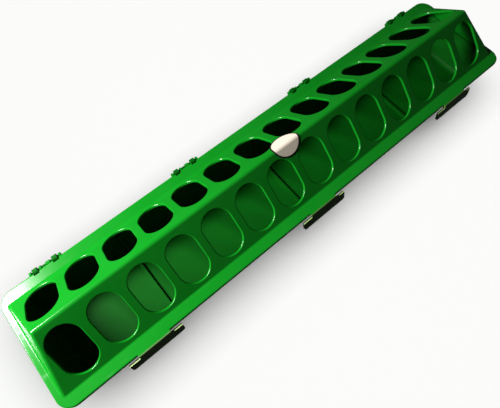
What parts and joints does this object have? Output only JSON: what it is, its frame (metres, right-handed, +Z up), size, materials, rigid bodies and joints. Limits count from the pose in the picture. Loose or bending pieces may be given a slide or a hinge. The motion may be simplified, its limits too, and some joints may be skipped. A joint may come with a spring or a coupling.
{
  "type": "gravity poultry feeder",
  "caption": "Long moulded plastic trough feeder for chicks: a flip-top ridged lid with rows of feeding holes, pinned along the back and latched along the front.",
  "frame": {"origin": "centre of the trough's underside, on the ground", "axes": "+X along the feeder, +Y towards the hinges, -Y towards the latches, +Z up"},
  "size_m": [0.508, 0.1149, 0.074],
  "materials": {
    "trough_green": "smooth moulded plastic",
    "lid_green": "glossy moulded plastic",
    "pin_green": "smooth moulded plastic",
    "latch_green": "glossy moulded plastic",
    "label_white": "satin label stock, blank, with a thin dark border"
  },
  "bodies": {
    "trough": {"trough": "trough_green"},
    "lid": {"lid": "lid_green", "label": "label_white", "hinge_pin_1": "pin_green", "hinge_pin_2": "pin_green", "hinge_pin_3": "pin_green", "hinge_pin_4": "pin_green"},
    "latch_1": {"latch_flap_1": "latch_green"},
    "latch_2": {"latch_flap_2": "latch_green"},
    "latch_3": {"latch_flap_3": "latch_green"}
  },
  "joints": [
    {"name": "lid_hinge", "type": "hinge", "parent": "trough", "child": "lid", "pos_m": [0, 0.0535, 0.0387], "axis": [-1, 0, 0], "range_deg": [0, 175]},
    {"name": "latch_1_hinge", "type": "hinge", "parent": "lid", "child": "latch_1", "pos_m": [-0.177, -0.05395, 0.0392], "axis": [-1, 0, 0], "range_deg": [-14, 90], "stiffness_Nm_per_rad": 0.01},
    {"name": "latch_2_hinge", "type": "hinge", "parent": "lid", "child": "latch_2", "pos_m": [0, -0.05395, 0.0392], "axis": [-1, 0, 0], "range_deg": [-18, 90], "stiffness_Nm_per_rad": 0.01},
    {"name": "latch_3_hinge", "type": "hinge", "parent": "lid", "child": "latch_3", "pos_m": [0.177, -0.05395, 0.0392], "axis": [-1, 0, 0], "range_deg": [-14, 90], "stiffness_Nm_per_rad": 0.01}
  ]
}
